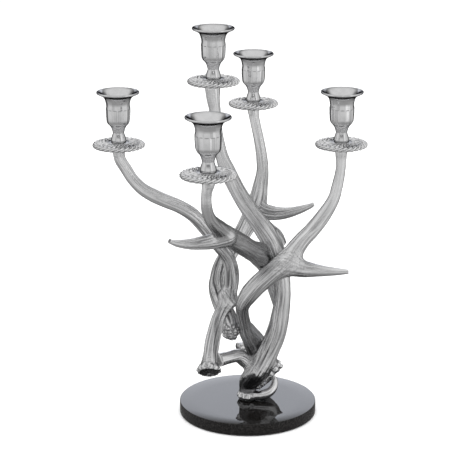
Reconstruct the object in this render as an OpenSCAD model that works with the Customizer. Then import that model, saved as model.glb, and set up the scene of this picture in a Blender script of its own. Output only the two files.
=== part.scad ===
// Five-light candelabra built from five cast antlers on a stone disc.
// Units are millimetres and +Z is up. The origin is the centre of the underside.

/* [Base] */
// Diameter of the stone disc
base_d = 165; // [150:1:200]
// Height of the stone disc above the table, with its felt
base_top = 15; // [14:1:17]
// Thickness of the felt under the stone
felt_h = 1; // [0.5:0.25:1.5]
// Size of the small bevel on the edges of the stone
base_bevel = 0.8; // [0.3:0.1:1.5]

/* [Candle cups] */
// Diameter of the bore that holds a taper candle
bore_d = 22.2; // [21:0.1:22.6]
// Depth of the straight candle bore below the flared mouth
bore_depth = 20; // [18:1:21]
// Diameter of the flared lip
lip_d = 50; // [44:0.2:54]
// Number of shallow flutes around a cup
cup_flutes = 14; // [8:1:18]

/* [Drip pans] */
// Outer diameter of a drip pan over its lobes
pan_d = 62.4; // [56:0.2:66]
// Number of lobes around a drip pan
pan_lobes = 26; // [20:1:30]

/* [Antlers] */
// Depth of the long grooves as a share of the antler radius
groove = 0.12; // [0:0.01:0.2]
// Number of pearls around each burr
pearls = 11; // [9:1:14]

/* [Hidden] */

// Seats at the antler tips, where the drip pans stand
SEAT_LEFT = [-152, 5, 329];
SEAT_TOP = [-41, 26, 400.5];
SEAT_BACK = [7.5, 149, 346.5];
SEAT_RIGHT = [109, 5, 329.5];
SEAT_FRONT = [-44.5, -204, 347.5];
SEATS = [SEAT_LEFT, SEAT_TOP, SEAT_BACK, SEAT_RIGHT, SEAT_FRONT];

pan_h = 7;        // pan thickness where the cup stands on it
cup_h = 60;       // cup height, foot to lip
cup_floor = 28;   // floor of the candle bore above the foot
screw_r = 2.5;    // cup screw
stud_r = 2;       // joining studs between the antlers
slack = 0.05;     // radial clearance of a screw or stud in its thread
foot_z = base_top + 0.8; // cut foot of the standing antler, on its gasket

metal = [0.72, 0.72, 0.73];
steel = [0.55, 0.56, 0.58];

// Antler stations are [x, y, z, radius] along the middle of a beam or tine.
LEFT_BEAM = [
    [-152, 5, 323, 6.5], [-150.5, 5, 314, 6.3], [-143.5, 4, 302.5, 6.3], [-136, 2, 291, 6.3],
    [-125, 0, 280, 6.8], [-112, 0, 272, 7.5], [-97, 0, 265, 7.5], [-81, 1, 258, 7.5],
    [-65, 2, 247, 7.5], [-49, 3, 228, 7.5], [-35, 3, 209, 7.6], [-22.5, 2, 191, 7.6],
    [-20, -2, 169, 8.6], [-25, -8, 144, 8], [-35, -17, 125, 7.5], [-42, -28, 101, 8.5],
    [-45, -36, 84, 8.5], [-46, -42, 71, 10.5]
];
LEFT_STUB = [[-27, -8, 150, 9], [-22, -10, 144, 9.4], [-17.5, -12.5, 139.5, 8]];

TOP_BEAM = [
    [-42, 26, 395, 8.5], [-41, 26, 381, 7.3], [-39, 26, 367, 6.3], [-37, 26, 342, 6.5],
    [-31.5, 25, 315, 7], [-25, 24, 297, 8.5], [-13, 20, 273, 9], [2, 13, 250, 9.7],
    [18, 5, 228, 10.5], [31, -2, 208, 10.5], [38, -6, 186, 10], [41, -7, 157, 9.5],
    [39.5, -6, 131, 10], [35, -5, 105, 11.2], [25, -4, 79, 12.6], [12.5, -5, 54, 14], [2.5, 2, 38, 11.5],
    [0, 3, 27, 9.5], [0, 0, 17, 9.5]
];
TOP_BROW = [
    [3, -3, 21.5, 4.3], [12, -6, 21.5, 5.2], [24, -4, 23.5, 5.2], [31, 0, 29, 4.4],
    [33, 5, 37, 3.2], [29, 10, 39, 2.5], [24, 12, 33, 2]
];
TOP_SPUR = [[8, 0, 57, 8.5], [-3, -2, 66, 8.5], [-12, -6, 73, 7.5], [-24, -16, 74, 7], [-34, -23, 74, 8]];
TOP_BULGE = [[20, 11, 230, 8], [32, 13, 218, 9], [39, 13, 206, 7.5]];

BACK_BEAM = [
    [7.5, 149, 340, 6.5], [9, 148, 329, 6], [14, 143, 307, 6], [18, 136, 284, 6.5],
    [19, 128, 267, 7], [16, 118, 249, 9.2], [12, 106, 233, 11], [4.5, 94, 218, 11.2],
    [-7.5, 78, 200, 10], [-22.5, 60, 183, 10.5], [-33, 42, 166, 10], [-37, 26, 151, 10],
    [-33, 7.5, 137, 9.4], [-24, 4, 119, 10.4], [-19.5, 0, 104, 8.5]
];
BACK_TINE = [
    [12, 104, 228, 9], [26, 98, 223, 9.2], [40, 95, 222.5, 7.5], [53, 92, 225, 5.8],
    [65, 90, 229, 4.5], [77, 88, 234, 2.8], [81, 87, 237, 2]
];

RIGHT_BEAM = [
    [109, 5, 323, 6.5], [109, 5, 314, 5.8], [108.5, 4, 302, 5.4], [105, 2, 283, 6.2],
    [100, 0, 266, 6.6], [88, -4, 247, 8], [75, -10, 232, 8.6], [64, -16, 222, 9],
    [53, -21, 209, 10.5], [41, -27, 195, 12], [26, -30, 184, 11.5], [12, -32, 172.5, 10.8],
    [1, -30, 159, 10.2], [-6.5, -24, 143, 8], [-5.5, -14, 124, 6.8], [-1, 0, 102, 7.5],
    [6, 15, 79, 9.5], [17, 27, 56, 11.5], [24, 34, 44, 12], [29, 37, 36, 12]
];
RIGHT_TINE = [
    [43, -26, 195, 9.5], [61, -28, 190.5, 9.8], [79, -29, 188.5, 7.2], [96, -30, 187.5, 5],
    [110, -30, 187, 3.3], [118, -30, 187, 2.2]
];
RIGHT_FLARE = [[0, 3, 102, 6.5], [8, 10, 92, 7], [15, 17, 80, 8], [20, 23, 66, 9], [24, 31, 50, 10]];

FRONT_BEAM = [
    [-44.5, -204, 341, 6.5], [-46.5, -204, 329, 5.2], [-46.5, -200, 313, 5.7], [-42, -184, 295, 6.5],
    [-31, -152, 274, 9], [-14, -108, 248, 11], [2, -66, 225, 11], [13, -28, 204.5, 11],
    [21, 1, 183, 8.5], [28, 13, 164, 8], [33, 13, 148, 7.5], [39, 15, 124, 7],
    [39, 24, 95, 7.5], [30, 40, 69, 7.5], [13, 50, 57, 8], [-4, 46, 60, 9]
];
FRONT_TINE = [
    [-27, -143, 262, 9.5], [-39, -147, 260, 8.3], [-52, -151, 259.5, 7.2], [-66, -155, 259, 5.7],
    [-79, -159, 261, 4], [-86, -161, 263.5, 2.5], [-88, -162, 265, 2]
];
FRONT_KNOB = [[2, -60, 224, 6], [11, -34, 218, 6], [18, -17, 212, 5]];

// Studs that tie the antlers together: [middle, direction, length]
STUDS = [
    [[41, -14, 195], [0, 1, 0], 14],
    [[28, -2, 188], [8, -1, 3], 12],
    [[-9, -1, 104], [8, 0, 1], 14],
    [[-12, -16, 142], [3, -3, -1], 14],
    [[-29, -4, 134], [-1, 3, -2], 12],
    [[10, 8, 68], [-1, 2, 1], 18],
    [[23, 38, 60], [0, 2, 1], 12]
];

// Smooth curve through the stations, with m rings to a span
function past(p, i) = i < 0 ? 2 * p[0] - p[1] : i < len(p) ? p[i] : 2 * p[len(p) - 1] - p[len(p) - 2];
function cubic(a, b, c, d, t) =
    0.5 * (2 * b + (c - a) * t + (2 * a - 5 * b + 4 * c - d) * t * t + (3 * b - a - 3 * c + d) * t * t * t);
function smooth(p, m) = concat(
    [for (i = [0 : len(p) - 2]) for (k = [0 : m - 1])
        cubic(past(p, i - 1), p[i], p[i + 1], past(p, i + 2), k / m)],
    [p[len(p) - 1]]
);
function xyz(s) = [s[0], s[1], s[2]];
function unit(v) = v / norm(v);
function heading(q, i) = unit(xyz(q[min(i + 1, len(q) - 1)]) - xyz(q[max(i - 1, 0)]));
function ring(s, t, n, turn) = let (u = unit(cross(t, [0, 1, 0])), w = cross(t, u)) [
    for (k = [0 : n - 1])
        let (a = 360 * k / n, r = s[3] * (1 - groove * (0.5 - 0.5 * cos(120 * k))))
            xyz(s) + r * (cos(a + turn) * u + sin(a + turn) * w)
];

// A grooved tube along the stations. The number of sides is a multiple of three, one groove to three sides.
module beam(p, n = 15, m = 3, twist = 2) {
    q = smooth(p, m);
    rings = len(q);
    polyhedron(
        points = [for (i = [0 : rings - 1]) each ring(q[i], heading(q, i), n, twist * i)],
        faces = concat(
            [[for (k = [0 : n - 1]) k]],
            [for (i = [0 : rings - 2]) for (k = [0 : n - 1])
                [i * n + k, (i + 1) * n + (k + 1) % n, i * n + (k + 1) % n]],
            [for (i = [0 : rings - 2]) for (k = [0 : n - 1])
                [i * n + k, (i + 1) * n + k, (i + 1) * n + (k + 1) % n]],
            [[for (k = [n - 1 : -1 : 0]) (rings - 1) * n + k]]
        )
    );
}

// Puts a child's Z axis along a direction at a point
module aim(p, d) {
    translate(p)
        rotate([0, acos(d[2] / norm(d)), atan2(d[1], d[0])])
            children();
}

// The burr at the root of an antler: a ring of fat pearls around a neck, with a hollow face
module burr(p, d, r) {
    size = r / 12;
    fat = 3.2 * size;
    aim(p, d) difference() {
        union() {
            translate([0, 0, -8]) cylinder(h = 10, r1 = r - 5.5 * size, r2 = r - 2.4 * size, $fn = 24);
            for (k = [0 : pearls - 1])
                rotate(360 * k / pearls)
                    hull() {
                        translate([r - fat, 0, -1]) sphere(r = fat, $fn = 10);
                        translate([r - fat - 1.6, 0, -1 - 2.6 * size]) sphere(r = fat * 0.8, $fn = 8);
                    }
        }
        translate([0, 0, 2]) cylinder(h = 8, r = r * 2, $fn = 24);
        translate([0, 0, -0.8]) cylinder(h = 4, r1 = r * 0.3, r2 = r * 1.18, $fn = 24);
    }
}

// The rough root of the back antler: rings of small lumps on a cone, each a ridge that points inwards
module rough_burr(p, d) {
    rows = [[-11, 8.6, 7], [-5.5, 8.9, 7], [-0.9, 6.9, 5]];
    aim(p, d) union() {
        translate([0, 0, -14]) cylinder(h = 18, r1 = 9, r2 = 5, $fn = 20);
        for (j = [0 : len(rows) - 1]) for (k = [0 : rows[j][2] - 1])
            rotate(360 * k / rows[j][2] + 19 * j + 3)
                hull() {
                    translate([rows[j][1], 0, rows[j][0]]) sphere(r = 3.3, $fn = 8);
                    translate([rows[j][1] * 0.6, 0, rows[j][0] - 1.3]) sphere(r = 2.6, $fn = 6);
                }
    }
}

// The round stem that flares to a flat seat under the drip pan
module tip(p) {
    translate(p) rotate_extrude($fn = 24)
        polygon([[0, 0], [8.2, 0], [8.2, -1.5], [7.1, -5], [6.4, -9], [0, -9]]);
}

// Threaded holes for the cup screw and for the joining studs
module threads(seat, studs) {
    translate(seat - [0, 0, 16]) cylinder(h = 17, r = screw_r + slack, $fn = 32);
    for (i = studs)
        aim(STUDS[i][0], STUDS[i][1])
            cylinder(h = STUDS[i][2] + 1, r = stud_r + slack, center = true, $fn = 32);
}

module antler_left() {
    color(metal) difference() {
        union() {
            beam(LEFT_BEAM);
            beam(LEFT_STUB, 12);
            burr([-46.5, -44, 67], [0, -0.72, -0.69], 15);
            tip(SEAT_LEFT);
        }
        threads(SEAT_LEFT, [3, 4]);
    }
}

module antler_top() {
    color(metal) difference() {
        union() {
            difference() {
                union() {
                    beam(TOP_BEAM);
                    beam(TOP_BROW, 12);
                    beam(TOP_SPUR, 12);
                    beam(TOP_BULGE, 12);
                    burr([0, 0, foot_z + 3], [0, 0, -1], 13);
                }
                translate([-60, -60, foot_z - 30]) cube([120, 120, 30]);
            }
            tip(SEAT_TOP);
        }
        threads(SEAT_TOP, [0, 1, 5]);
        translate([0, 0, foot_z - 1]) cylinder(h = 21, r = 4 + slack, $fn = 32);
    }
}

module antler_back() {
    color(metal) difference() {
        union() {
            beam(BACK_BEAM);
            beam(BACK_TINE, 12);
            rough_burr([-19, -1, 96], [0.25, -0.1, -0.95]);
            tip(SEAT_BACK);
        }
        threads(SEAT_BACK, [2, 4]);
    }
}

module antler_right() {
    color(metal) difference() {
        union() {
            beam(RIGHT_BEAM);
            beam(RIGHT_TINE, 12);
            beam(RIGHT_FLARE, 12);
            burr([29, 35, 35.5], [0.66, 0, -0.75], 18.5);
            tip(SEAT_RIGHT);
        }
        threads(SEAT_RIGHT, [0, 2, 3, 5, 6]);
    }
}

module antler_front() {
    color(metal) difference() {
        union() {
            beam(FRONT_BEAM);
            beam(FRONT_TINE, 12);
            beam(FRONT_KNOB, 12);
            burr([-8, 44, 60], [-0.8, -0.4, -0.45], 12);
            tip(SEAT_FRONT);
        }
        threads(SEAT_FRONT, [1, 6]);
    }
}

// Stone disc with a bolt hole and a counterbore from below
module base_slab() {
    color([0.14, 0.14, 0.15]) difference() {
        rotate_extrude($fn = 96) polygon([
            [0, felt_h], [base_d / 2 - base_bevel, felt_h], [base_d / 2, felt_h + base_bevel],
            [base_d / 2, base_top - base_bevel], [base_d / 2 - base_bevel, base_top], [0, base_top]
        ]);
        translate([0, 0, -1]) cylinder(h = base_top + 2, r = 4.5, $fn = 48);
        translate([0, 0, -1]) cylinder(h = base_top - 4, r = 13, $fn = 48);
    }
}

module base_felt() {
    color([0.12, 0.12, 0.12]) cylinder(h = felt_h, r = base_d / 2 - 4, $fn = 96);
}

// Thin rubber ring between the stone and the foot of the standing antler
module base_gasket() {
    color([0.2, 0.2, 0.2]) translate([0, 0, base_top]) difference() {
        cylinder(h = foot_z - base_top, r = 9.5, $fn = 48);
        translate([0, 0, -1]) cylinder(h = 4, r = 4.5, $fn = 48);
    }
}

module base_bolt() {
    color(steel) union() {
        translate([0, 0, base_top - 13.4]) cylinder(h = 5.4, r = 7.4, $fn = 6);
        translate([0, 0, base_top - 9]) cylinder(h = foot_z + 18 - base_top + 9, r = 4, $fn = 48);
    }
}

module washer(z, h, r_out, r_in) {
    translate([0, 0, z]) difference() {
        cylinder(h = h, r = r_out, $fn = 48);
        translate([0, 0, -1]) cylinder(h = h + 2, r = r_in, $fn = 48);
    }
}

module base_spring_washer() {
    color(steel) difference() {
        washer(base_top - 8, 1.6, 7, 4.2);
        translate([3, -0.5, base_top - 9]) cube([6, 1, 4]);
    }
}

module base_washer() {
    color(steel) washer(base_top - 6.4, 1.4, 11.5, 4.2);
}

// Drip pan: a domed disc with a ring of lobes like a twisted rope
module pan(seat) {
    lobe = 3.6;
    r = pan_d / 2;
    color(metal) translate(seat) difference() {
        intersection() {
            linear_extrude(pan_h) union() {
                circle(r = r - lobe, $fn = 96);
                for (k = [0 : pan_lobes - 1])
                    rotate(360 * k / pan_lobes) translate([r - lobe, 0]) circle(r = lobe, $fn = 24);
            }
            rotate_extrude($fn = 96) polygon([
                [0, 0], [r - 4, 0], [r - 1.6, 0.7], [r + 0.1, 2.2], [r + 0.1, 3.5], [r - 0.8, 4.8],
                [r - 3, 5.9], [r - 6.5, 6.5], [14, 6.4], [11.5, pan_h], [0, pan_h]
            ]);
        }
        translate([0, 0, -1]) cylinder(h = pan_h + 2, r = screw_r + 0.3, $fn = 32);
    }
}
module pan_left() pan(SEAT_LEFT);
module pan_top() pan(SEAT_TOP);
module pan_back() pan(SEAT_BACK);
module pan_right() pan(SEAT_RIGHT);
module pan_front() pan(SEAT_FRONT);

// Candle cup: foot, waist, fluted bowl, collar and flared lip around the candle bore
module cup(seat) {
    lip_r = lip_d / 2;
    bore_r = bore_d / 2;
    color(metal) translate(seat + [0, 0, pan_h]) difference() {
        rotate_extrude($fn = 72) polygon([
            [screw_r + 0.3, 0], [8.4, 0], [8.7, 1.3], [8.7, 2.8], [8.3, 4.8], [7.7, 7], [6.8, 9.4],
            [6.6, 10.8], [7, 12.8], [7.6, 15], [8.5, 17.2], [9.9, 19.4], [11.8, 21.4], [13.2, 23.4],
            [13.9, 25.6], [14.1, 28.6], [14.4, 33.5], [14.5, 38.4], [14.4, 40.2], [14.2, 41.6],
            [13.9, 42.8], [13.8, 44], [14.1, 46.2], [14.7, 48.6], [15.3, 50.8], [16.4, 52.8],
            [18.3, 54.6], [21, 56.1], [23.5, 57.2], [lip_r - 0.3, 58], [lip_r, 58.8], [lip_r - 0.3, 59.6],
            [lip_r - 1.1, cup_h], [22.6, 59.7], [20.8, 59.1], [19, 58.2], [17.6, 57], [16.3, 55.4],
            [14.9, 53.4], [13.3, 51.2], [11.9, 49.4], [bore_r, cup_floor + bore_depth], [bore_r, cup_floor],
            [5.4, cup_floor], [5.4, cup_floor - 4], [screw_r + 0.3, cup_floor - 4]
        ]);
        for (k = [0 : cup_flutes - 1])
            rotate(360 * (k + 0.5) / cup_flutes) translate([17.6, 0, 24.5])
                rotate([0, -1.8, 0]) cylinder(h = 14.5, r = 3.8, $fn = 40);
    }
}
module cup_left() cup(SEAT_LEFT);
module cup_top() cup(SEAT_TOP);
module cup_back() cup(SEAT_BACK);
module cup_right() cup(SEAT_RIGHT);
module cup_front() cup(SEAT_FRONT);

// One screw to a cup, through cup and pan into the antler tip
module cup_screws() {
    head_z = pan_h + cup_floor - 3.2;
    color(steel) for (s = SEATS)
        translate(s) difference() {
            union() {
                translate([0, 0, -14]) cylinder(h = head_z + 14.5, r = screw_r, $fn = 32);
                translate([0, 0, head_z]) cylinder(h = 2.8, r = 4.6, $fn = 32);
            }
            translate([0, 0, head_z + 1.2]) cylinder(h = 4, r = 2.3, $fn = 6);
        }
}

module cup_spring_washers() {
    color(steel) for (s = SEATS)
        translate(s) washer(pan_h + cup_floor - 4, 0.8, 4.8, screw_r + 0.2);
}

module joint_studs() {
    color(steel) for (s = STUDS)
        aim(s[0], s[1]) cylinder(h = s[2], r = stud_r, center = true, $fn = 32);
}

base_slab();
base_felt();
base_gasket();
base_bolt();
base_spring_washer();
base_washer();
antler_left();
antler_top();
antler_back();
antler_right();
antler_front();
pan_left();
pan_top();
pan_back();
pan_right();
pan_front();
cup_left();
cup_top();
cup_back();
cup_right();
cup_front();
cup_screws();
cup_spring_washers();
joint_studs();
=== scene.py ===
"""Looks of the tabletop candelabra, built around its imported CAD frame. Metres, +Z up.

Five cast antlers lean on each other on a black stone disc, and the tip of each carries a drip
pan and a candle cup. An antler is one closed casting: rough tubes and pearls are melted into
one mesh, which is pulled onto a smooth field and then cut with grooves that run along it.
The pans, the cups and the disc are lathe shapes. Felt, fasteners and studs keep their CAD mesh.
"""

import math

import bpy
import numpy as np
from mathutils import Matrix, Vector


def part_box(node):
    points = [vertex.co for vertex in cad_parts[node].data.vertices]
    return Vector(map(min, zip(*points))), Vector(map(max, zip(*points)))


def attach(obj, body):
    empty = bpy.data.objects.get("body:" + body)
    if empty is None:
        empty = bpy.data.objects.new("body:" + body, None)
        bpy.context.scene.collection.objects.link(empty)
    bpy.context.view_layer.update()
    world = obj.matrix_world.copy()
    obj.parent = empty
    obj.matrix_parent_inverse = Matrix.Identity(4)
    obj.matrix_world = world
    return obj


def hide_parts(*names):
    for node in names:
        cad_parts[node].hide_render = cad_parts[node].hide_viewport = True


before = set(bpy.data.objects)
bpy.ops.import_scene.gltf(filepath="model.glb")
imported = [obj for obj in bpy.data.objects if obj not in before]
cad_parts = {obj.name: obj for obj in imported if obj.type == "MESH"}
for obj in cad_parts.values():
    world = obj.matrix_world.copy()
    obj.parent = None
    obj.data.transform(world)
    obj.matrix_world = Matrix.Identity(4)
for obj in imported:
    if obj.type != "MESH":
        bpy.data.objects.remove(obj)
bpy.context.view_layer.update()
MM = 0.001


# ---------------------------------------------------------------- noise and curves
def noise(p, seed):
    """Smooth gradient noise at the points p, about -1 to 1, the same at every run."""
    rng = np.random.default_rng(seed)
    perm = np.tile(rng.permutation(256), 3)
    g = rng.normal(size=(256, 3))
    g /= np.linalg.norm(g, axis=1)[:, None]
    cell = np.floor(p).astype(int)
    f = p - cell
    cell &= 255
    u = f * f * f * (f * (f * 6 - 15) + 10)
    total = np.zeros(len(p))
    for dx in (0, 1):
        for dy in (0, 1):
            for dz in (0, 1):
                h = perm[perm[perm[cell[:, 0] + dx] + cell[:, 1] + dy] + cell[:, 2] + dz]
                dot = ((f - (dx, dy, dz)) * g[h]).sum(1)
                wx = u[:, 0] if dx else 1 - u[:, 0]
                wy = u[:, 1] if dy else 1 - u[:, 1]
                wz = u[:, 2] if dz else 1 - u[:, 2]
                total += dot * wx * wy * wz
    return total * 1.7


def step(x, a, b):
    """Smooth step: 0 up to a, 1 from b on."""
    t = np.clip((np.asarray(x, float) - a) / (b - a), 0, 1)
    return t * t * (3 - 2 * t)


def curve(stations, count):
    """Catmull-Rom curve through the stations, with count points to a span."""
    p = np.array(stations, float)
    p = np.vstack([2 * p[0] - p[1], p, 2 * p[-1] - p[-2]])
    out = []
    for i in range(1, len(p) - 2):
        a, b, c, d = p[i - 1 : i + 3]
        for k in range(count):
            t = k / count
            square = (2 * a - 5 * b + 4 * c - d) * t * t
            cube = (3 * b - a - 3 * c + d) * t**3
            out.append(0.5 * (2 * b + (c - a) * t + square + cube))
    out.append(p[-2])
    return np.array(out)


def directions(p):
    """Unit tangents along the points p."""
    t = np.gradient(p, axis=0)
    return t / np.linalg.norm(t, axis=1)[:, None]


def carried(side, tangents):
    """Carries a side direction along the tangents without twist. Gives both cross axes."""
    sides = []
    for t in tangents:
        side = side - t * np.dot(side, t)
        side /= np.linalg.norm(side)
        sides.append(side)
    sides = np.array(sides)
    return sides, np.cross(tangents, sides)


def axes(d):
    """Matrix with columns x, y, z, where z runs along d."""
    z = np.array(d, float)
    z /= np.linalg.norm(z)
    x = np.cross((0, 1, 0), z)
    if np.linalg.norm(x) < 1e-3:
        x = np.array((1.0, 0, 0))
    x /= np.linalg.norm(x)
    return np.stack([x, np.cross(z, x), z], axis=1)


# ---------------------------------------------------------------- mesh helpers
def new_mesh(name, verts, faces):
    me = bpy.data.meshes.new(name)
    me.from_pydata([tuple(v) for v in verts], [], [tuple(f) for f in faces])
    me.validate()
    o = bpy.data.objects.new(name, me)
    bpy.context.scene.collection.objects.link(o)
    return o


def smooth_shade(o):
    o.data.polygons.foreach_set("use_smooth", [True] * len(o.data.polygons))
    o.data.update()


def coords(me):
    co = np.zeros(len(me.vertices) * 3)
    me.vertices.foreach_get("co", co)
    return co.reshape(-1, 3)


def tube(p, r, u, w, n=20):
    """Closed tube along the points p, with radii r and cross axes u and w."""
    ang = (np.arange(n) * 2 * math.pi / n)[None, :, None]
    rings = p[:, None] + r[:, None, None] * (np.cos(ang) * u[:, None] + np.sin(ang) * w[:, None])
    v = rings.reshape(-1, 3)
    faces = []
    for i in range(len(p) - 1):
        for k in range(n):
            q = (k + 1) % n
            faces.append((i * n + k, i * n + q, (i + 1) * n + q, (i + 1) * n + k))
    faces.append(tuple(reversed(range(n))))
    faces.append(tuple((len(p) - 1) * n + k for k in range(n)))
    return v, faces


def loose_tube(p, r, n=20):
    """Closed tube along the points p whose turn about its own line doesn't matter."""
    t = directions(p)
    return tube(p, r, *carried(np.cross(t[0], (0.3, 1, 0.2)), t), n)


def melted(name, parts, voxel):
    """One closed mesh around several closed parts that overlap, by a voxel remesh."""
    verts, faces = [], []
    for v, f in parts:
        base = len(verts)
        verts.extend(v)
        faces.extend([tuple(base + i for i in q) for q in f])
    raw = new_mesh(name + "_raw", verts, faces)
    melt = raw.modifiers.new("melt", "REMESH")
    melt.mode = "VOXEL"
    melt.voxel_size = voxel
    dg = bpy.context.evaluated_depsgraph_get()
    me = bpy.data.meshes.new_from_object(raw.evaluated_get(dg))
    bpy.data.objects.remove(raw)
    return me


# ---------------------------------------------------------------- node helpers
def material(name):
    m = bpy.data.materials.new(name)
    m.use_nodes = True
    nt = m.node_tree
    nt.nodes.clear()
    out = nt.nodes.new("ShaderNodeOutputMaterial")
    bsdf = nt.nodes.new("ShaderNodeBsdfPrincipled")
    nt.links.new(bsdf.outputs[0], out.inputs[0])
    return m, nt, bsdf


def node(nt, kind, **values):
    """New node. A value is a property of the node, or else the constant of a socket."""
    n = nt.nodes.new(kind)
    for k, v in values.items():
        if hasattr(n, k):
            setattr(n, k, v)
        else:
            n.inputs[k].default_value = v
    return n


def feed(nt, value, socket):
    """Links an output to the socket, or sets the socket to a constant."""
    if isinstance(value, bpy.types.NodeSocket):
        nt.links.new(value, socket)
    else:
        socket.default_value = value


def ramp(nt, source, stops):
    """Colour ramp with stops of position and colour, or position and grey."""
    r = nt.nodes.new("ShaderNodeValToRGB")
    while len(r.color_ramp.elements) < len(stops):
        r.color_ramp.elements.new(0.5)
    for e, (pos, col) in zip(r.color_ramp.elements, stops):
        e.position = pos
        e.color = (*col, 1) if isinstance(col, tuple) else (col, col, col, 1)
    nt.links.new(source, r.inputs[0])
    return r.outputs[0]


def mixed(nt, factor, a, b, blend="MIX"):
    """Mix of two colours, each an output or a constant. Sockets 6 and 7 are the colours'."""
    n = node(nt, "ShaderNodeMix", data_type="RGBA", blend_type=blend)
    for value, socket in ((factor, n.inputs[0]), (a, n.inputs[6]), (b, n.inputs[7])):
        feed(nt, value, socket)
    return n.outputs[2]


def maths(nt, operation, *values):
    """Result of one operation on outputs and numbers."""
    n = node(nt, "ShaderNodeMath", operation=operation)
    for value, socket in zip(values, n.inputs):
        feed(nt, value, socket)
    return n.outputs[0]


def cloud(nt, vector, scale, detail, roughness=0.5):
    """Noise texture read at the vector."""
    n = node(nt, "ShaderNodeTexNoise", Scale=scale, Detail=detail, Roughness=roughness)
    nt.links.new(vector, n.inputs["Vector"])
    return n.outputs["Fac"]


def cells(nt, vector, scale):
    """Voronoi texture read at the vector."""
    n = node(nt, "ShaderNodeTexVoronoi", Scale=scale)
    nt.links.new(vector, n.inputs["Vector"])
    return n.outputs


def stretched(nt, vector, scale):
    """The vector scaled along its three axes."""
    n = node(nt, "ShaderNodeMapping", Scale=scale)
    nt.links.new(vector, n.inputs["Vector"])
    return n.outputs[0]


def object_place(nt):
    return node(nt, "ShaderNodeTexCoord").outputs["Object"]


def bump(nt, bsdf, height, strength, distance):
    b = node(nt, "ShaderNodeBump", Strength=strength, Distance=distance)
    nt.links.new(height, b.inputs["Height"])
    nt.links.new(b.outputs[0], bsdf.inputs["Normal"])


# ---------------------------------------------------------------- materials
def antler_metal():
    """Polished cast metal with fine lines along it, painted darker in the grooves for shade and
    patina.

    The castings carry three values of their own: cavity is how dark the base colour is painted,
    from the depth below the crests, the creases around pearls and the standing antler's painted
    ankle patch; grain is how strong the fine lines are, and flow is a place measured along and
    around the antler.
    """
    m, nt, bsdf = material("cast_metal_antler")
    flow = node(nt, "ShaderNodeAttribute", attribute_name="flow").outputs["Vector"]
    cavity = node(nt, "ShaderNodeAttribute", attribute_name="cavity").outputs["Fac"]
    grain = node(nt, "ShaderNodeAttribute", attribute_name="grain").outputs["Fac"]
    lines = cloud(nt, flow, 1.0, 3.0, 0.55)
    thin = cloud(nt, stretched(nt, flow, (1.9, 1.9, 0.8)), 1.0, 2.0)
    patch = cloud(nt, object_place(nt), 55.0, 3.0)

    # light on the crests, dark in grooves and creases: painted shade over the grooves' real patina
    bright, middle, painted_dark_shade = (0.84, 0.84, 0.845), (0.66, 0.66, 0.665), (0.16, 0.16, 0.165)
    tone = ramp(nt, cavity, [(0.0, bright), (0.5, middle), (1.0, painted_dark_shade)])
    stains = ramp(nt, patch, [(0.3, 0.92), (0.7, 1.0)])
    streaks = ramp(nt, lines, [(0.36, 0.5), (0.44, 0.9), (0.55, 1.0), (0.64, 0.95), (0.72, 0.7)])
    scratches = ramp(nt, thin, [(0.455, 1.0), (0.5, 0.5), (0.545, 1.0)])
    colour = mixed(nt, 1.0, tone, stains, "MULTIPLY")
    colour = mixed(nt, grain, colour, streaks, "MULTIPLY")
    colour = mixed(nt, grain, colour, scratches, "MULTIPLY")
    nt.links.new(colour, bsdf.inputs["Base Color"])

    bsdf.inputs["Metallic"].default_value = 1.0
    bsdf.inputs["Specular Tint"].default_value = (0.4, 0.4, 0.4, 1)
    nt.links.new(ramp(nt, lines, [(0.35, 0.16), (0.7, 0.28)]), bsdf.inputs["Roughness"])
    cuts = ramp(nt, thin, [(0.44, 0.35), (0.5, 0.0), (0.56, 0.35)])
    height = maths(nt, "MULTIPLY", maths(nt, "ADD", lines, cuts), grain)
    bump(nt, bsdf, height, 0.6, 0.0006)
    return m


def smooth_metal(name, tone, roughness, scale, strength):
    """Polished cast metal with small pits and faint waves. scale sets how fine they are."""
    m, nt, bsdf = material(name)
    place = object_place(nt)
    wave = cloud(nt, place, scale, 3.0, 0.55)
    low = tuple(0.92 * c for c in tone)
    nt.links.new(ramp(nt, wave, [(0.35, low), (0.65, tone)]), bsdf.inputs["Base Color"])
    bsdf.inputs["Metallic"].default_value = 1.0
    bsdf.inputs["Specular Tint"].default_value = (0, 0, 0, 1)
    dull = ramp(nt, wave, [(0.3, roughness), (0.75, roughness * 1.7)])
    nt.links.new(dull, bsdf.inputs["Roughness"])
    pits = ramp(nt, cells(nt, place, scale * 4)["Distance"], [(0.0, 0.0), (0.12, 0.25)])
    bump(nt, bsdf, maths(nt, "ADD", wave, pits), strength, 0.0005)
    return m


def granite(name, ior, level, roughness, dark, grain):
    """Black stone with fine brown-grey grains. dark and grain set the two tones."""
    m, nt, bsdf = material(name)
    place = object_place(nt)
    haze = cloud(nt, place, 420.0, 5.0, 0.7)
    split = node(nt, "ShaderNodeSeparateColor")
    nt.links.new(cells(nt, place, 900.0)["Color"], split.inputs[0])

    def tone(k):
        return (0.1 * k, 0.09 * k, 0.084 * k)

    ground = [(0.0, tone(0.6 * dark)), (0.75, tone(dark))]
    grains = [(0.9, tone(0.6 * grain)), (1.0, tone(grain))]
    speck = ramp(nt, split.outputs[0], ground + grains)
    veil = ramp(nt, haze, [(0.4, 0.35), (0.72, 1.0)])
    nt.links.new(mixed(nt, 1.0, speck, veil, "MULTIPLY"), bsdf.inputs["Base Color"])
    bsdf.inputs["IOR"].default_value = ior
    bsdf.inputs["Specular IOR Level"].default_value = level
    bsdf.inputs["Specular Tint"].default_value = (0.9, 0.94, 1.0, 1)
    dull = ramp(nt, haze, [(0.3, roughness), (0.75, roughness * 1.5)])
    nt.links.new(dull, bsdf.inputs["Roughness"])
    bump(nt, bsdf, haze, 0.02, 0.0002)
    return m


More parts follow.
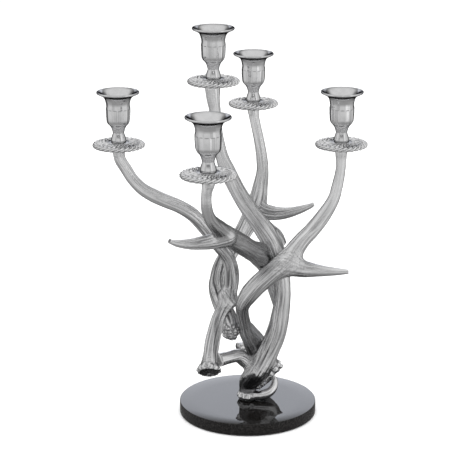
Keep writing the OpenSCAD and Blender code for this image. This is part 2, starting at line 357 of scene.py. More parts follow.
def felt():
    """Black felt, rough and a little fuzzy at a low angle."""
    m, nt, bsdf = material("black_felt")
    fuzz = cloud(nt, object_place(nt), 2500.0, 5.0, 0.8)
    tone = ramp(nt, fuzz, [(0.3, (0.008, 0.008, 0.009)), (0.75, (0.04, 0.04, 0.042))])
    nt.links.new(tone, bsdf.inputs["Base Color"])
    bsdf.inputs["Roughness"].default_value = 0.95
    bsdf.inputs["Sheen Weight"].default_value = 0.4
    bump(nt, bsdf, fuzz, 0.8, 0.0004)
    return m


def rubber():
    """Matt black rubber."""
    m, nt, bsdf = material("black_rubber")
    skin = cloud(nt, object_place(nt), 800.0, 3.0)
    nt.links.new(ramp(nt, skin, [(0.3, 0.012), (0.7, 0.03)]), bsdf.inputs["Base Color"])
    bsdf.inputs["Roughness"].default_value = 0.6
    bump(nt, bsdf, skin, 0.2, 0.0002)
    return m


def brushed_steel():
    """Plated steel with fine rings from turning."""
    m, nt, bsdf = material("brushed_steel")
    brush = cloud(nt, stretched(nt, object_place(nt), (300, 300, 2500)), 1.0, 4.0)
    tone = ramp(nt, brush, [(0.3, (0.42, 0.43, 0.44)), (0.7, (0.6, 0.6, 0.61))])
    nt.links.new(tone, bsdf.inputs["Base Color"])
    bsdf.inputs["Metallic"].default_value = 1.0
    nt.links.new(ramp(nt, brush, [(0.3, 0.25), (0.7, 0.4)]), bsdf.inputs["Roughness"])
    bump(nt, bsdf, brush, 0.15, 0.0002)
    return m


MAT = {
    "antler_metal": antler_metal(),
    "cup_metal": smooth_metal(
        "cast_metal_cup", (0.71, 0.71, 0.715), roughness=0.07, scale=160.0, strength=0.04
    ),
    "pan_metal": smooth_metal(
        "cast_metal_pan", (0.86, 0.86, 0.865), roughness=0.1, scale=260.0, strength=0.5
    ),
    "stone": granite(
        "black_granite_polished", ior=1.5, level=0.5, roughness=0.015, dark=0.13, grain=0.4
    ),
    "felt": felt(),
    "gasket": rubber(),
    "steel": brushed_steel(),
}
# the disc's edge is honed, not polished
STONE_EDGE = granite(
    "black_granite_edge", ior=1.4, level=0.2, roughness=0.22, dark=0.26, grain=0.5
)


def finish_piece(o, slot, *nodes):
    """Gives a piece its material, and ties it to the body and the CAD nodes it stands for."""
    o.data.materials.clear()
    o.data.materials.append(MAT[slot])
    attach(o, "root")
    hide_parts(*nodes)


# ---------------------------------------------------------------- antlers
# Stations are [x, y, z, radius] in millimetres. Beams run from the tip down to the burr, as in
# the CAD. Every other strand starts inside its beam.
LEFT_BEAM = [
    [-152, 5, 323, 6.5], [-150.5, 5, 314, 6.3], [-143.5, 4, 302.5, 6.3], [-136, 2, 291, 6.3],
    [-125, 0, 280, 6.8], [-112, 0, 272, 7.5], [-97, 0, 265, 7.5], [-81, 1, 258, 7.5],
    [-65, 2, 247, 7.5], [-49, 3, 228, 7.5], [-35, 3, 209, 7.6], [-22.5, 2, 191, 7.6],
    [-20, -2, 169, 8.6], [-25, -8, 144, 8], [-35, -17, 125, 7.5], [-42, -28, 101, 8.5],
    [-45, -36, 84, 8.5], [-46, -42, 71, 10.5],
]
LEFT_STUB = [[-27, -8, 150, 9], [-22, -10, 144, 9.4], [-17.5, -12.5, 139.5, 8]]
TOP_BEAM = [
    [-42, 26, 395, 8.5], [-41, 26, 381, 7.3], [-39, 26, 367, 6.3], [-37, 26, 342, 6.5],
    [-31.5, 25, 315, 7], [-25, 24, 297, 8.5], [-13, 20, 273, 9], [2, 13, 250, 9.7],
    [18, 5, 228, 10.5], [31, -2, 208, 10.5], [38, -6, 186, 10], [41, -7, 157, 9.5],
    [39.5, -6, 131, 10], [35, -5, 105, 11.2], [25, -4, 79, 12.6], [12.5, -5, 54, 14],
    [2.5, 2, 38, 11.5], [0, 3, 27, 9.5], [0, 0, 17, 9.5],
]
TOP_BROW = [
    [3, -3, 21.5, 4.3], [12, -6, 21.5, 5.2], [24, -4, 23.5, 5.2], [31, 0, 29, 4.4],
    [33, 5, 37, 3.2], [29, 10, 39, 2.5], [24, 12, 33, 2],
]
TOP_SPUR = [
    [8, 0, 57, 8.5], [-3, -2, 66, 8.5], [-12, -6, 73, 7.5], [-24, -16, 74, 7], [-34, -23, 74, 8],
]
TOP_BULGE = [[20, 11, 230, 8], [32, 13, 218, 9], [39, 13, 206, 7.5]]
BACK_BEAM = [
    [7.5, 149, 340, 6.5], [9, 148, 329, 6], [14, 143, 307, 6], [18, 136, 284, 6.5],
    [19, 128, 267, 7], [16, 118, 249, 9.2], [12, 106, 233, 11], [4.5, 94, 218, 11.2],
    [-7.5, 78, 200, 10], [-22.5, 60, 183, 10.5], [-33, 42, 166, 10], [-37, 26, 151, 10],
    [-33, 7.5, 137, 9.4], [-24, 4, 119, 10.4], [-19.5, 0, 104, 8.5],
]
BACK_TINE = [
    [12, 104, 228, 9], [26, 98, 223, 9.2], [40, 95, 222.5, 7.5], [53, 92, 225, 5.8],
    [65, 90, 229, 4.5], [77, 88, 234, 2.8], [81, 87, 237, 2],
]
RIGHT_BEAM = [
    [109, 5, 323, 6.5], [109, 5, 314, 5.8], [108.5, 4, 302, 5.4], [105, 2, 283, 6.2],
    [100, 0, 266, 6.6], [88, -4, 247, 8], [75, -10, 232, 8.6], [64, -16, 222, 9],
    [53, -21, 209, 10.5], [41, -27, 195, 12], [26, -30, 184, 11.5], [12, -32, 172.5, 10.8],
    [1, -30, 159, 10.2], [-6.5, -24, 143, 8], [-5.5, -14, 124, 6.8], [-1, 0, 102, 7.5],
    [6, 15, 79, 9.5], [17, 27, 56, 11.5], [24, 34, 44, 12], [29, 37, 36, 12],
]
RIGHT_TINE = [
    [43, -26, 195, 9.5], [61, -28, 190.5, 9.8], [79, -29, 188.5, 7.2], [96, -30, 187.5, 5],
    [110, -30, 187, 3.3], [118, -30, 187, 2.2],
]
RIGHT_FLARE = [[0, 3, 102, 6.5], [8, 10, 92, 7], [15, 17, 80, 8], [20, 23, 66, 9], [24, 31, 50, 10]]
FRONT_BEAM = [
    [-44.5, -204, 341, 6.5], [-46.5, -204, 329, 5.2], [-46.5, -200, 313, 5.7],
    [-42, -184, 295, 6.5], [-31, -152, 274, 9], [-14, -108, 248, 11], [2, -66, 225, 11],
    [13, -28, 204.5, 11], [21, 1, 183, 8.5], [28, 13, 164, 8], [33, 13, 148, 7.5],
    [39, 15, 124, 7], [39, 24, 95, 7.5], [30, 40, 69, 7.5], [13, 50, 57, 8], [-4, 46, 60, 9],
]
FRONT_TINE = [
    [-27, -143, 262, 9.5], [-39, -147, 260, 8.3], [-52, -151, 259.5, 7.2], [-66, -155, 259, 5.7],
    [-79, -159, 261, 4], [-86, -161, 263.5, 2.5], [-88, -162, 265, 2],
]
FRONT_KNOB = [[2, -60, 224, 6], [11, -34, 218, 6], [18, -17, 212, 5]]
# More pearls on the right antler's burr, where the photograph shows them beside the foot.
RIGHT_PEARLS = [
    [11.5, 18, 22.5, 2.6], [16.5, 17, 19.8, 2.8], [22.5, 16.5, 20.6, 2.9], [17.5, 17.5, 26, 2.7],
    [24.5, 16.5, 26.5, 3.0], [29.5, 17, 31, 3.0], [33.5, 22, 31, 3.2], [38.5, 25, 37.5, 3.4],
    [41, 28, 44, 3.4],
]
# The antler's tip: height above the seat of the drip pan, and radius.
STEM = np.array([(-10, 6.2), (-7, 6.7), (-5, 7.1), (-3, 7.7), (-1.5, 8.2), (0, 8.2)])
FOOT_Z = 15.8  # the standing antler's face, on its rubber ring
PEARLS = 11  # in a ring around a burr
# Rows of pearls on the rough root: height, radius and count.
ROOT_ROWS = [(-12, 9, 9), (-8, 9.7, 10), (-4, 9.1, 9), (-0.5, 7, 7), (2, 3.4, 4)]
DISH = 3.2  # depth of the hollow in a burr's face
# Widths in millimetres over which parts run into each other.
COLLAR_BLEND, PEARL_BLEND, SEAT_BLEND = 2.5, 0.8, 1.0
# the dark line around a pearl is painted shade in the crease where it sinks in
CREASE = 1.4  # width of the dark line around a pearl
SPAN_POINTS = 5  # points between two stations
VOXEL = 0.0007  # metres


class Strand:
    """One beam or tine: middle line, radii, running length, cross axes and groove depths.

    depth holds pairs of a share of the length and the depth of the grooves there, 0 to 1.
    A tine takes its running length and cross axes from its parent, so grooves run on into it.
    """

    def __init__(self, stations, depth, parent=None):
        c = curve(stations, SPAN_POINTS) * MM
        self.p, self.r = c[:, :3], c[:, 3]
        t = directions(self.p)
        gaps = np.linalg.norm(np.diff(self.p, axis=0), axis=1)
        self.s = np.concatenate([[0], np.cumsum(gaps)])
        depth = np.array(depth, float)
        self.depth = np.interp(self.s / self.s[-1], depth[:, 0], depth[:, 1])
        side = np.cross(t[0], (0, 1, 0))
        if parent is not None:
            i = int(np.argmin(np.linalg.norm(parent.p - self.p[0], axis=1)))
            side = parent.u[i]
            self.s = self.s + parent.s[i]
        self.u, self.w = carried(side, t)

    def tube(self):
        return tube(self.p, self.r, self.u, self.w)

    def measure(self, x):
        """Distance, outward direction, running length, cosine and sine around, groove depth."""
        a, b = self.p[:-1], self.p[1:]
        ab = b - a
        ab2 = (ab * ab).sum(1)
        best = np.full(len(x), 1e9)
        index = np.zeros(len(x), int)
        share = np.zeros(len(x))
        for j in range(len(a)):
            t = np.clip(((x - a[j]) @ ab[j]) / ab2[j], 0, 1)
            d = x - a[j] - t[:, None] * ab[j]
            f = np.sqrt((d * d).sum(1)) - (self.r[j] + t * (self.r[j + 1] - self.r[j]))
            closer = f < best
            best = np.where(closer, f, best)
            index = np.where(closer, j, index)
            share = np.where(closer, t, share)

        def along(v):
            part = share if v.ndim == 1 else share[:, None]
            return v[index] + (v[index + 1] - v[index]) * part

        d = x - along(self.p)
        n = d / np.maximum(np.linalg.norm(d, axis=1), 1e-9)[:, None]
        cu, cw = (n * along(self.u)).sum(1), (n * along(self.w)).sum(1)
        flat = np.maximum(np.hypot(cu, cw), 1e-6)
        return best, n, along(self.s), cu / flat, cw / flat, along(self.depth)


class Pearl:
    """A pearl on a burr: a short capsule from a to b, in millimetres."""

    def __init__(self, a, b, r):
        self.a, self.b, self.r = np.array(a) * MM, np.array(b) * MM, r * MM

    def tube(self):
        line = np.array([self.a + (self.a - self.b) * 0.15, self.a, self.b])
        return loose_tube(line, np.array([0.6, 1, 0.8]) * self.r, 10)

    def measure(self, x):
        ab = self.b - self.a
        t = np.clip(((x - self.a) @ ab) / max(ab @ ab, 1e-12), 0, 1)
        d = x - self.a - t[:, None] * ab
        length = np.maximum(np.linalg.norm(d, axis=1), 1e-9)
        return length - self.r, d / length[:, None]


class Burr:
    """The root of an antler, in millimetres, with its axis z pointing out of the antler.

    kind is ring, a hollow face with a ring of pearls; foot, a flat face that stands on the
    disc; or cone, a rough root of pearls in rows.
    """

    def __init__(self, place, direction, radius, kind):
        self.place, self.axes = np.array(place, float), axes(direction)
        self.radius, self.kind = radius, kind
        self.size = radius / 12
        self.face = 3.0 if kind == "foot" else 2.0

    def world(self, q):
        return self.axes @ np.array(q, float) + self.place

    def local(self, x):
        return (x / MM - self.place) @ self.axes

    def distance(self, x):
        return np.linalg.norm(x / MM - self.place, axis=1)

    def pearls(self, rng):
        return self.root_pearls(rng) if self.kind == "cone" else self.ring_pearls(rng)

    def root_pearls(self, rng):
        pearls = []
        for row, (height, radius, count) in enumerate(ROOT_ROWS):
            for k in range(count):
                a = 2 * math.pi * (k + 0.5 * (row % 2)) / count + rng.uniform(-0.12, 0.12)
                z = height + rng.uniform(-0.8, 0.8)
                q = np.array([radius * math.cos(a), radius * math.sin(a), z])
                inner = q * (0.8, 0.8, 1) + (0, 0, -1.2)
                pearls.append(Pearl(self.world(q), self.world(inner), rng.uniform(1.9, 2.8)))
        return pearls

    def ring_pearls(self, rng):
        pearls = []
        for k in range(PEARLS):
            a = 2 * math.pi * k / PEARLS + rng.uniform(-0.09, 0.09)
            fat = rng.uniform(0.86, 1.08) * (2.7 if self.kind == "foot" else 3.15) * self.size
            x, y = math.cos(a), math.sin(a)
            out = self.radius - fat
            z = -1.0 + rng.uniform(-0.5, 0.5)
            inner = [(out - 1.6) * x, (out - 1.6) * y, z - 2.6 * self.size]
            pearls.append(Pearl(self.world([out * x, out * y, z]), self.world(inner), fat))
        return pearls

    def collar(self):
        """The plain body that the pearls sit on, as world stations."""
        inner = self.radius - 4.2 * self.size
        lip = inner + 1.6 * self.size
        if self.kind == "cone":
            rows = [(-14, 7.5), (-8, 8), (-3, 7), (1.5, 4)]
        else:
            rows = [(-9, inner - 1.5), (-5, inner + 0.4), (-1, lip), (1.5, lip)]
        return [[*self.world((0, 0, z)), r] for z, r in rows]

    def cuts(self, x):
        """Fields that trim the burr: its flat face, its hollow, and the disc it stands on."""
        if self.kind == "cone":
            return
        local = self.local(x)
        near = np.linalg.norm(local, axis=1) < self.radius * 1.8
        yield np.where(near, (local[:, 2] - self.face) * MM, -1.0), self.axes[:, 2]
        if self.kind == "foot":
            yield FOOT_Z * MM - x[:, 2], (0, 0, -1.0)
            return
        # a ball whose cap, DISH deep, is scooped out of the face
        rim = self.radius - 1.9 * self.size
        ball = (rim**2 + DISH**2) / (2 * DISH)
        to = np.array([0, 0, self.face - DISH + ball]) - local
        away = np.linalg.norm(to, axis=1)
        yield np.where(near, (ball - away) * MM, -1.0), (to / away[:, None]) @ self.axes.T


def joined(f, n, g, toward, width):
    """Smooth union of the fields f and g, their outward directions, and the share of g."""
    h = np.clip(0.5 + 0.5 * (f - g) / width, 0, 1)
    return f + (g - f) * h - width * h * (1 - h), n + (toward - n) * h[:, None], h


def grooves(s, c, w, depth, seed):
    """Grooves of four widths at a running length and angle: depth in mm, flow, line strength."""
    bend = noise(np.stack([s / 0.06, c * 0.6, w * 0.6], 1), seed + 5) * 0.3 + s * 2.5
    cb, wb = c * np.cos(bend) - w * np.sin(bend), c * np.sin(bend) + w * np.cos(bend)

    def line(count, run, width, more):
        """1 in the middle of each line. count sets how many lie around, run how long they are."""
        n = noise(np.stack([cb * count, wb * count, s / run], 1), seed + more)
        return np.exp(-((n / width) ** 2))

    busy = step(noise(np.stack([c * 1.1, w * 1.1, s / 0.07], 1), seed + 3), -0.5, 0.2)
    wide = 1.3 * line(1.5, 0.14, 0.13, 0) * np.maximum(depth, 0.45 * (depth > 0.1))
    mid = 1.0 * line(3.0, 0.09, 0.17, 1) * (0.4 + 0.6 * busy) * depth
    fine = 0.6 * line(5.5, 0.07, 0.25, 2) * (0.3 + 0.7 * busy) * depth
    hair = 0.2 * line(9.0, 0.045, 0.3, 4) * busy * depth
    flow = np.stack([cb * 6, wb * 6, s / 0.05], 1)
    return wide + mid + fine + hair, flow, depth * (0.3 + 0.7 * busy)


def painted_dark_shade(x, n, seed):
    """1 on the dark patch at the front of the standing antler's ankle: painted shade and a painted
    reflection of the black disc.

    It lies above the brow tine, left of the middle, and its upper edge rises to the right.
    """
    px, pz = x[:, 0] / MM, x[:, 2] / MM
    edge = np.minimum(51.5, 40 + 0.95 * (px + 9.4)) + 3 * noise(x / 0.005, seed)
    front = step(-n[:, 1], 0.0, 0.3)
    return front * step(pz, 24.5, 27) * (1 - step(pz - edge, -2, 2)) * (1 - step(px, 12, 19))


def antler(side, beam, tines, burr, seat, seed, blend=6.0, relief=1.0, extra=()):
    """Builds one antler's casting. beam and tines are pairs of stations and groove depths."""
    main = Strand(*beam)
    strands = [main] + [Strand(*t, parent=main) for t in tines]
    collar = burr.collar()
    collar_strand = Strand(collar, [(0, 0), (1, 0)], parent=main)
    pearls = burr.pearls(np.random.default_rng(seed))
    pearls += [Pearl((x, y, z), (x + 0.5, y + 3.5, z + 1.5), r) for x, y, z, r in extra]

    # closed rough pieces, melted together
    rows = np.array(collar) * MM
    stem = np.array([[seat[0], seat[1], seat[2] + z] for z in STEM[:, 0]]) * MM
    parts = [s.tube() for s in strands]
    parts.append(loose_tube(rows[:, :3], rows[:, 3]))
    parts.append(loose_tube(stem, STEM[:, 1] * MM, 40))
    parts += [p.tube() for p in pearls]
    name = "antler_" + side
    me = melted(name, parts, VOXEL)

    def field(x):
        """Distance to the smooth surface, and all that the grooves need there."""
        got = [s.measure(x) for s in strands]
        f, n = got[0][:2]
        weight = [np.ones(len(x))]
        for g, toward, *_ in got[1:]:
            f, n, h = joined(f, n, g, toward, blend * MM)
            weight = [w * (1 - h) for w in weight] + [h]
        crease = np.zeros(len(x))
        for b in [collar_strand] + pearls:
            g, toward = b.measure(x)[:2]
            if b is not collar_strand:
                crease = np.maximum(crease, 1 - np.abs(f - g) / (CREASE * MM))
            width = COLLAR_BLEND if b is collar_strand else PEARL_BLEND
            f, n, h = joined(f, n, g, toward, width * MM)
            weight = [w * (1 - 0.7 * h) for w in weight]
        # the stem flares to the round seat
        q = x / MM - np.array(seat)
        across = np.hypot(q[:, 0], q[:, 1])
        stem_r = np.interp(q[:, 2], STEM[:, 0], STEM[:, 1])
        g = np.where(q[:, 2] > STEM[0, 0] - 0.5, (across - stem_r) * MM, 1.0)
        toward = q * (1, 1, 0) / np.maximum(across, 1e-6)[:, None]
        f, n, h = joined(f, n, g, toward, SEAT_BLEND * MM)
        weight = [w * (1 - h) for w in weight]
        # flat top of the seat, then the cuts at the burr
        for g, toward in [(q[:, 2] * MM, (0, 0, 1.0)), *burr.cuts(x)]:
            n = np.where((g > f)[:, None], toward, n)
            f = np.maximum(f, g)
        n = n / np.maximum(np.linalg.norm(n, axis=1), 1e-9)[:, None]
        return f, n, got, weight, crease

    # pull the rough mesh onto the smooth surface
    x = coords(me)
    for _ in range(3):
        f, n, *_ = field(x)
        x = x - np.clip(f, -0.003, 0.003)[:, None] * n
    _, n, got, weight, crease = field(x)

    # grooves, cut down from crests that stand a little proud of the CAD's surface
    depth, amount, proud = np.zeros(len(x)), np.zeros(len(x)), np.zeros(len(x))
    flow = np.zeros((len(x), 3))
    for (_, _, s, c, w, most), share in zip(got, weight):
        cut, along, strength = grooves(s, c, w, most, seed)
        depth += share * cut * relief
        flow += share[:, None] * along
        amount += share * strength
        proud += share * (0.45 + 0.45 * most)
    near_burr = np.exp(-((burr.distance(x) / (burr.radius * 1.4)) ** 4))
    lumps = np.clip(noise(x / 0.0022, seed + 7), 0, 1) * near_burr
    depth = depth * (1 - 0.7 * near_burr) + lumps * (1.1 if burr.kind == "cone" else 0.5)
    x = x + n * ((proud - depth) * MM)[:, None]
    top = seat[2] * MM
    x[:, 2] = np.where(x[:, 2] > top - 0.0002, top, x[:, 2])
    # how dark the base colour is painted: shade in the grooves and creases, over the grooves' real
    # patina
    cavity = np.clip(depth / 2.0 + 0.65 * crease, 0, 1)
    if burr.kind == "foot":
        x[:, 2] = np.maximum(x[:, 2], FOOT_Z * MM)
        # the standing antler's ankle gets its patch of painted shade and painted reflection of the
        # disc
        cavity = np.clip(cavity + 1.6 * painted_dark_shade(x, n, seed + 8), 0, 1)

    me.vertices.foreach_set("co", x.ravel())
    for label, data in (("cavity", cavity), ("grain", np.clip(amount, 0, 1))):
        att = me.attributes.new(label, "FLOAT", "POINT")
        att.data.foreach_set("value", data.astype(np.float32))
    att = me.attributes.new("flow", "FLOAT_VECTOR", "POINT")
    att.data.foreach_set("vector", flow.astype(np.float32).ravel())
    me.update()
    o = bpy.data.objects.new(name + "_casting", me)
    bpy.context.scene.collection.objects.link(o)
    smooth_shade(o)
    finish_piece(o, "antler_metal", name)


# Groove depths along a strand, as (share of its length, depth).
EVEN = [(0, 0.15), (0.15, 0.3), (0.35, 0.75), (0.55, 1.0), (0.9, 1.0), (1, 0.6)]
SMOOTH = [(0, 0.1), (0.3, 0.5), (0.5, 0.9), (0.75, 1.0), (1, 0.8)]
BROAD = [(0, 0.15), (0.15, 0.3), (0.35, 0.6), (0.55, 0.8), (0.9, 0.8), (1, 0.6)]
WORN = [(0, 0.1), (0.2, 0.3), (0.5, 0.55), (1, 0.55)]
TINE = [(0, 1.0), (0.4, 0.8), (0.8, 0.35), (1, 0.05)]
FULL = [(0, 1), (1, 1)]

antler(
    "left", (LEFT_BEAM, SMOOTH), [(LEFT_STUB, [(0, 0.6), (1, 0.2)])],
    Burr([-46.5, -44, 67], [0, -0.72, -0.69], 15, "ring"), [-152, 5, 329], seed=11,
)
antler(
    "top", (TOP_BEAM, EVEN),
    [(TOP_BROW, [(0, 0.1), (1, 0.05)]), (TOP_SPUR, TINE), (TOP_BULGE, FULL)],
    Burr([0, 0, FOOT_Z + 3], [0, 0, -1], 13, "foot"), [-41, 26, 400.5], seed=23, relief=0.7,
)
antler(
    "back", (BACK_BEAM, EVEN), [(BACK_TINE, TINE)],
    Burr([-19, -1, 96], [0.25, -0.1, -0.95], 9.5, "cone"), [7.5, 149, 346.5], seed=37, blend=4.0,
)
antler(
    "right", (RIGHT_BEAM, BROAD),
    [(RIGHT_TINE, [(0, 1), (0.4, 0.8), (1, 0.05)]), (RIGHT_FLARE, FULL)],
    Burr([29, 35, 35.5], [0.66, 0.0, -0.75], 18.5, "ring"), [109, 5, 329.5], seed=41,
    blend=12.0, relief=0.7, extra=RIGHT_PEARLS,
)
antler(
    "front", (FRONT_BEAM, WORN), [(FRONT_TINE, TINE), (FRONT_KNOB, [(0, 0.5), (1, 0.3)])],
    Burr([-8, 44, 60], [-0.8, -0.4, -0.45], 12, "ring"), [-44.5, -204, 347.5], seed=59, blend=9.0,
)


# ---------------------------------------------------------------- pans and cups
def revolve(profile, n, shape=None):
    """Closed lathe mesh from a profile of (r, z) in millimetres. shape moves r, z and angle."""
    prof = np.array(profile, float)
    rows = len(prof)
    r = np.repeat(prof[:, :1], n, 1)
    z = np.repeat(prof[:, 1:], n, 1)
    a = np.repeat(np.arange(n)[None, :] * 2 * math.pi / n, rows, 0)
    if shape:
        r, z = shape(r, z, a)
    v = np.stack([r * np.cos(a), r * np.sin(a), z], 2).reshape(-1, 3) * MM
    faces = []
    for i in range(rows):
        j = (i + 1) % rows
        for k in range(n):
            q = (k + 1) % n
            faces.append((i * n + k, i * n + q, j * n + q, j * n + k))
    return v, faces


def rounded(points, count=4):
    """Smooth profile through the points, with count steps between two of them."""
    return [tuple(q[:2]) for q in curve([[*p, 0, 0] for p in points], count)]


LOBES = 26
PAN_PROFILE = (
    [(2.8, 0.0), (8, 0.0), (16, 0.0), (21, 0.0)]
    + rounded([
        (24, 0.05), (27.3, 0.15), (29.6, 0.7), (30.9, 1.9), (31.2, 3.2), (30.7, 4.6), (29.2, 5.7),
        (26.8, 6.3), (24, 6.5), (21.5, 6.5), (19, 6.4), (16.5, 6.3), (14, 6.4), (12.2, 6.6),
    ])
    + [(11.3, 6.9), (10.8, 7.0), (9, 7.0), (2.8, 7.0)]
)
PAN_FIT = 0.992  # keeps the rim inside the CAD pan


def pan_shape(r, z, a):
    """Cuts the lobes of a twisted rope into the rim and leaf-like dimples into the top."""
    share = step(r, 9.6, 11.8)  # the middle, under the cup, stays flat
    upper = z > 2.6
    edge = step(r, 25.0, 29.5)  # 1 on the rim
    twist = (r - 20) * 0.03 + (3.2 - z) * 0.045 * edge
    valley = (1 - np.abs(np.cos(LOBES / 2 * (a + twist)))) ** 1.4
    petal = np.abs(np.cos(LOBES / 4 * (a - twist) + 0.4)) * np.exp(-(((r - 19.5) / 3.2) ** 2))
    wave = np.abs(np.cos(LOBES / 2 * (a + 1.6 * twist) + 0.8)) ** 2
    leaf = wave * np.exp(-(((r - 25.0) / 2.2) ** 2))
    dip = share * (2.3 * valley * step(r, 11.0, 20.0) + 1.2 * petal + 0.7 * leaf)
    r2 = r - dip * edge * np.where(z > 0.3, 1.0, 0.3)
    z2 = np.where(upper, z - dip * (1 - 0.5 * edge), z + 0.5 * dip * step(r, 21, 27))
    return r2, z2


# From the stem up the outside, over the lip, and down the candle bore to the screw's recess.
CUP_PROFILE = (
    [(2.8, 0.0), (5, 0.0), (8.0, 0.0)]
    + rounded([
        (8.5, 0.3), (8.75, 1.3), (8.7, 2.8), (8.3, 4.8), (7.65, 7.0), (6.8, 9.4), (6.6, 10.8),
        (7.0, 12.8), (7.6, 15.0), (8.5, 17.2), (9.9, 19.4), (11.7, 21.2), (13.1, 23.2),
        (13.8, 25.6), (14.1, 28.6), (14.4, 33.5), (14.5, 38.4), (14.45, 40.0),
    ])
    + rounded([
        (14.35, 40.9), (14.15, 41.8), (13.95, 42.8), (13.9, 44), (14.15, 46.2), (14.7, 48.6),
        (15.3, 50.8), (16.4, 52.8), (18.3, 54.6), (21, 56.1), (23.5, 57.2), (24.7, 58.0),
        (25.0, 58.8), (24.8, 59.5), (24.0, 59.9), (22.6, 59.7), (20.8, 59.1), (19.0, 58.2),
        (17.6, 57.0), (16.3, 55.4), (14.9, 53.4), (13.3, 51.2), (11.9, 49.4), (11.1, 48),
    ])
    + [(11.1, 40), (11.1, 28.4), (10.7, 28.0), (5.4, 28.0), (5.4, 24.0), (2.8, 24.0)]
)
CUP_OUTSIDE = 116  # profile points before the lip's edge
FLUTES = 14


def cup_shape(r, z, a):
    """Shallow upright flutes around the bowl, with a fine ridge between two of them."""
    outside = np.arange(len(r))[:, None] < CUP_OUTSIDE
    band = step(z, 20.5, 23.5) * (1 - 0.6 * step(z, 38.6, 40.2)) * (1 - step(z, 49, 54))
    wave = np.abs(np.cos(FLUTES / 2 * a))
    dip = 0.6 * band * (1 - (1 - wave) ** 1.6)
    return np.where(outside, r + 0.12 - dip, r), z


def stand(kind, side, shape, turn, fit):
    """Stands a lathe shape in the place of its CAD node, turned about its own axis."""
    verts, faces = shape
    c, s = math.cos(turn), math.sin(turn)
    spin = np.array([[c, -s, 0], [s, c, 0], [0, 0, 1]])
    name = kind + "_" + side
    low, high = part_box(name)
    foot = np.array([(low.x + high.x) / 2, (low.y + high.y) / 2, low.z])
    o = new_mesh(name + "_casting", verts @ spin.T * (fit, fit, 1) + foot, faces)
    smooth_shade(o)
    finish_piece(o, kind + "_metal", name)


AROUND = 12  # mesh columns to a lobe or a flute
pan = revolve(PAN_PROFILE, LOBES * AROUND, pan_shape)
cup = revolve(CUP_PROFILE, FLUTES * AROUND, cup_shape)
for i, side in enumerate(("left", "top", "back", "right", "front")):
    stand("pan", side, pan, 0.37 * i, PAN_FIT)
    stand("cup", side, cup, 0.37 * i, 1.0)


# ---------------------------------------------------------------- base and hardware
def slab_profile():
    """The disc with rounded edges, and from below the counterbore and hole for its bolt."""
    low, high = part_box("base_slab")
    r, z0, z1 = high.x / MM, low.z / MM, high.z / MM
    bevel, bore, hole, shoulder = 0.8, 13.0, 4.5, 11

    def corner(cx, cz, start, end):
        turns = np.linspace(math.radians(start), math.radians(end), 6)
        return [(cx + bevel * math.cos(a), cz + bevel * math.sin(a)) for a in turns]

    return (
        [(bore, z0), (40, z0)]
        + corner(r - bevel, z0 + bevel, -90, 0)
        + corner(r - bevel, z1 - bevel, 0, 90)
        + [(60, z1), (30, z1), (hole, z1), (hole, shoulder), (bore, shoulder)]
    )


slab = new_mesh("base_stone", *revolve(slab_profile(), 256))
smooth_shade(slab)
edges = slab.modifiers.new("edges", "EDGE_SPLIT")
edges.split_angle = math.radians(35)
finish_piece(slab, "stone", "base_slab")
slab.data.materials.append(STONE_EDGE)
for face in slab.data.polygons:
    face.material_index = 0 if face.normal.z > 0.8 else 1

# Nodes that keep their CAD mesh, and the material of each.
CAD_LOOKS = {
    "base_felt": "felt",
    "base_gasket": "gasket",
    "base_bolt": "steel",
    "base_spring_washer": "steel",
    "base_washer": "steel",
    "cup_screws": "steel",
    "cup_spring_washers": "steel",
    "joint_studs": "steel",
}
for name, slot in CAD_LOOKS.items():
    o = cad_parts[name]
    if not o.material_slots:
        o.data.materials.append(MAT[slot])
    for place in o.material_slots:
        place.material = MAT[slot]

# ---------------------------------------------------------------- floor
floor = new_mesh("floor", [(-8, -8, 0), (8, -8, 0), (8, 8, 0), (-8, 8, 0)], [(0, 1, 2, 3)])
pale, _, bsdf = material("pale_floor")
bsdf.inputs["Base Color"].default_value = (0.93, 0.93, 0.93, 1)
bsdf.inputs["Roughness"].default_value = 1.0
bsdf.inputs["Specular IOR Level"].default_value = 0.0
floor.data.materials.append(pale)
floor.visible_glossy = False

# ---------------------------------------------------------------- studio
# The metal shows what stands around it, so the world is a small studio: pale walls that are
# dim near the floor, upright panels, a dim ceiling over the camera and a window behind the set.
world = bpy.data.worlds.new("studio")
bpy.context.scene.world = world
world.use_nodes = True
wt = world.node_tree
wt.nodes.clear()
background = wt.nodes.new("ShaderNodeBackground")
wt.links.new(background.outputs[0], wt.nodes.new("ShaderNodeOutputWorld").inputs[0])
split = wt.nodes.new("ShaderNodeSeparateXYZ")
wt.links.new(node(wt, "ShaderNodeTexCoord").outputs["Generated"], split.inputs[0])
# up: 0 straight down, 0.5 level, 1 straight up
up = maths(wt, "MULTIPLY_ADD", split.outputs["Z"], 0.5, 0.5)
# around: 0 and 1 on the camera's side, 0.25 left, 0.5 behind the set, 0.75 right
turn = maths(wt, "ARCTAN2", split.outputs["X"], split.outputs["Y"])
around = maths(wt, "MULTIPLY_ADD", turn, 0.5 / math.pi, 0.5)


def patch(sides, heights):
    """1 in one part of the studio, 0 elsewhere, from a ramp around and a ramp up."""
    return maths(wt, "MULTIPLY", ramp(wt, around, sides), ramp(wt, up, heights))


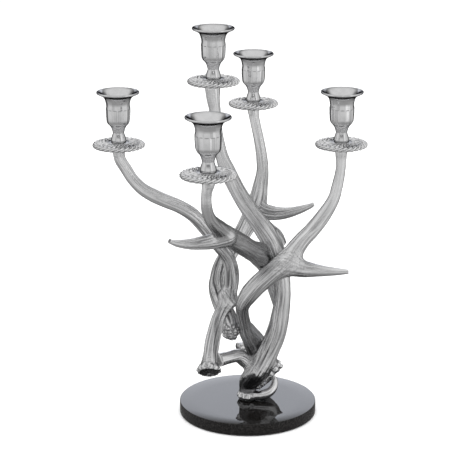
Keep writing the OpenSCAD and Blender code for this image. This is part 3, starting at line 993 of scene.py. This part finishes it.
height = ramp(wt, up, [
    (0.0, 0.34), (0.2, 0.4), (0.3, 0.64), (0.36, 0.78), (0.5, 0.78), (0.62, 0.77), (0.75, 0.84),
    (1.0, 0.87),
])
panels = ramp(wt, around, [
    (0.0, 1.0), (0.07, 1.0), (0.1, 0.78), (0.14, 0.78), (0.17, 1.06), (0.27, 1.02), (0.33, 0.8),
    (0.37, 0.4), (0.45, 0.36), (0.55, 0.36), (0.63, 0.4), (0.67, 0.8), (0.74, 1.02), (0.83, 1.06),
    (0.85, 1.5), (0.87, 1.5), (0.885, 0.85), (0.93, 0.85), (0.96, 1.0), (1.0, 1.0),
])
# the panels fade out overhead and underfoot
fade = ramp(wt, up, [(0.22, 1.0), (0.32, 0.0), (0.72, 0.0), (0.86, 1.0)])
sky = mixed(wt, 1.0, height, mixed(wt, fade, panels, (1, 1, 1, 1)), "MULTIPLY")
ceiling = patch(
    [(0.05, 1.0), (0.13, 0.0), (0.87, 0.0), (0.95, 1.0)],
    [(0.62, 0.0), (0.71, 1.0), (0.82, 1.0), (0.91, 0.0)],
)
sky = mixed(wt, ceiling, sky, (0.28, 0.28, 0.28, 1))
window = patch(
    [(0.44, 0.0), (0.465, 1.0), (0.535, 1.0), (0.56, 0.0)],
    [(0.52, 0.0), (0.56, 1.0), (0.71, 1.0), (0.76, 0.0)],
)
sky = mixed(wt, window, sky, (2.0, 2.05, 2.2, 1))
wt.links.new(sky, background.inputs[0])


def softbox(name, place, target, size, power, glossy=True):
    data = bpy.data.lights.new(name, "AREA")
    data.shape = "RECTANGLE"
    data.size, data.size_y = size
    data.energy = power
    o = bpy.data.objects.new(name, data)
    bpy.context.scene.collection.objects.link(o)
    o.location = place
    o.rotation_euler = (Vector(target) - Vector(place)).to_track_quat("-Z", "Y").to_euler()
    o.visible_glossy = glossy
    o.visible_camera = False


# a small key light over the camera, and a wide soft one overhead that the metal doesn't mirror
softbox("key", (0.1, -2.2, 1.6), (0, 0, 0.3), (0.24, 0.24), 0.4)
softbox("fill", (0, 0, 3.0), (0, 0, 0), (4, 4), 130, glossy=False)

# ---------------------------------------------------------------- camera
# Fitted to the ellipses of the disc and of the cups' lips.
PITCH = 16.5  # degrees down
lens = bpy.data.cameras.new("camera")
lens.lens, lens.sensor_width = 144, 36
lens.clip_start, lens.clip_end = 0.05, 50
camera = bpy.data.objects.new("camera", lens)
bpy.context.scene.collection.objects.link(camera)
camera.location = (-0.0215, -2.092, 0.849)
camera.rotation_euler = (math.radians(90 - PITCH), 0, 0)
bpy.context.scene.camera = camera
bpy.context.scene.view_settings.view_transform = "Standard"
